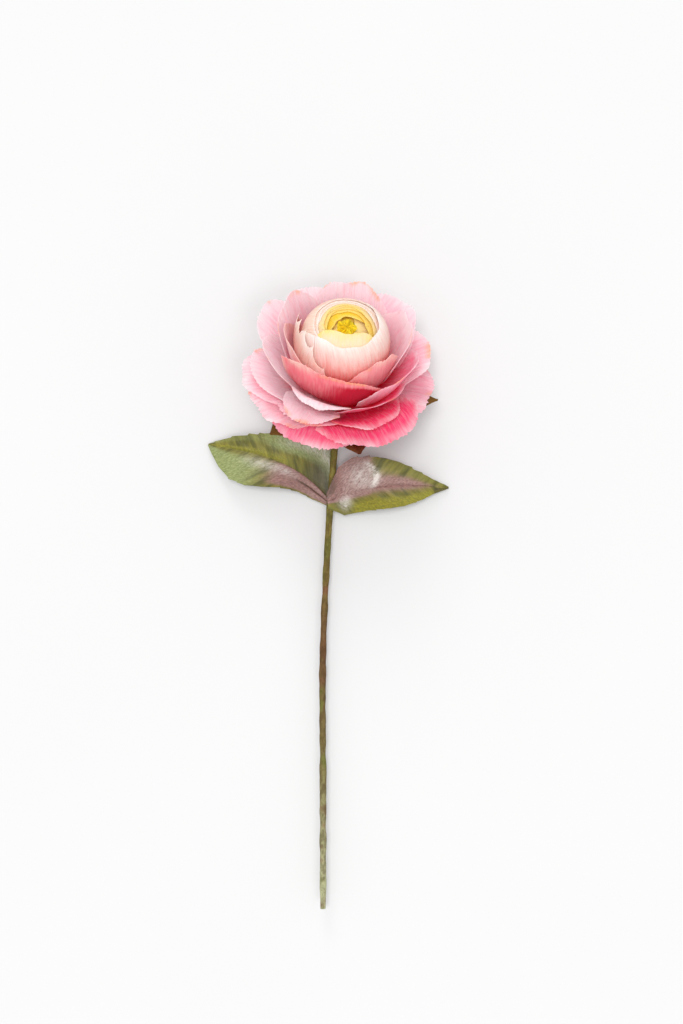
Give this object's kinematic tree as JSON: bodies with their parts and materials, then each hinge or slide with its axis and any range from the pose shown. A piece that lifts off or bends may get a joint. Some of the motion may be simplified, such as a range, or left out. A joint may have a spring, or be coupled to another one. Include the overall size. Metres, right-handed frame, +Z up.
{
  "type": "paper ranunculus",
  "caption": "Nodding paper flower with nested cupped petals round a yellow heart, on a wired, tape-wrapped stem with toothed leaves, lying on its back",
  "frame": {"origin": "middle of the floor contact box: the centre of the bounding box in X and Y, with the lowest petal and leaf tips at Z = 0", "axes": "+Y runs along the stem from its foot to the flower, +X to the flower's right as its face is looked at, +Z up from the floor, the way the face of the flower looks"},
  "size_m": [0.1038, 0.2646, 0.0589],
  "materials": {
    "heart_petal": "matte crepe paper, golden yellow",
    "cream_petal": "matte crepe paper, cream flushed with peach",
    "salmon_petal": "matte crepe paper, salmon with a pale peach rim",
    "pink_petal": "matte crepe paper, warm pink with a paler rim",
    "tuft": "matte crepe paper, yellow-green",
    "sepal": "matte crepe paper, olive brown",
    "leaf": "tinted paper with a slight sheen, olive and mauve",
    "stem_tape": "waxed paper tape, olive brown, mottled",
    "core": "pressed paper, pale yellow",
    "wire": "plain florist's wire"
  },
  "bodies": {
    "root": {"bud_core": "core", "centre_tuft": "tuft", "bud_petal_1": "heart_petal", "bud_petal_2": "heart_petal", "bud_petal_3": "heart_petal", "bud_petal_4": "heart_petal", "bud_petal_5": "heart_petal", "bud_petal_6": "heart_petal", "bud_petal_7": "heart_petal", "bud_petal_8": "heart_petal", "bud_petal_9": "heart_petal", "bud_petal_10": "cream_petal", "bud_petal_11": "cream_petal", "bud_petal_12": "heart_petal", "bud_petal_13": "cream_petal", "bud_petal_14": "cream_petal", "open_petal_1": "cream_petal", "open_petal_2": "salmon_petal", "open_petal_3": "salmon_petal", "open_petal_4": "salmon_petal", "open_petal_5": "pink_petal", "open_petal_6": "pink_petal", "open_petal_7": "pink_petal", "open_petal_8": "pink_petal", "open_petal_9": "pink_petal", "open_petal_10": "pink_petal", "open_petal_11": "pink_petal", "open_petal_12": "pink_petal", "open_petal_13": "pink_petal", "open_petal_14": "pink_petal", "open_petal_15": "pink_petal", "open_petal_16": "pink_petal", "open_petal_17": "pink_petal", "open_petal_18": "pink_petal", "open_petal_19": "pink_petal", "open_petal_20": "pink_petal", "open_petal_21": "pink_petal", "open_petal_22": "pink_petal", "open_petal_23": "pink_petal", "open_petal_24": "pink_petal", "open_petal_25": "pink_petal", "open_petal_26": "pink_petal", "open_petal_27": "pink_petal", "open_petal_28": "pink_petal", "open_petal_29": "pink_petal", "open_petal_30": "pink_petal", "sepal_1": "sepal", "sepal_2": "sepal", "sepal_3": "sepal", "sepal_4": "sepal", "sepal_5": "sepal", "stem_wrap": "stem_tape", "stem_wire": "wire", "left_leaf": "leaf", "left_leaf_wire": "wire", "right_leaf": "leaf", "right_leaf_wire": "wire"}
  },
  "joints": []
}
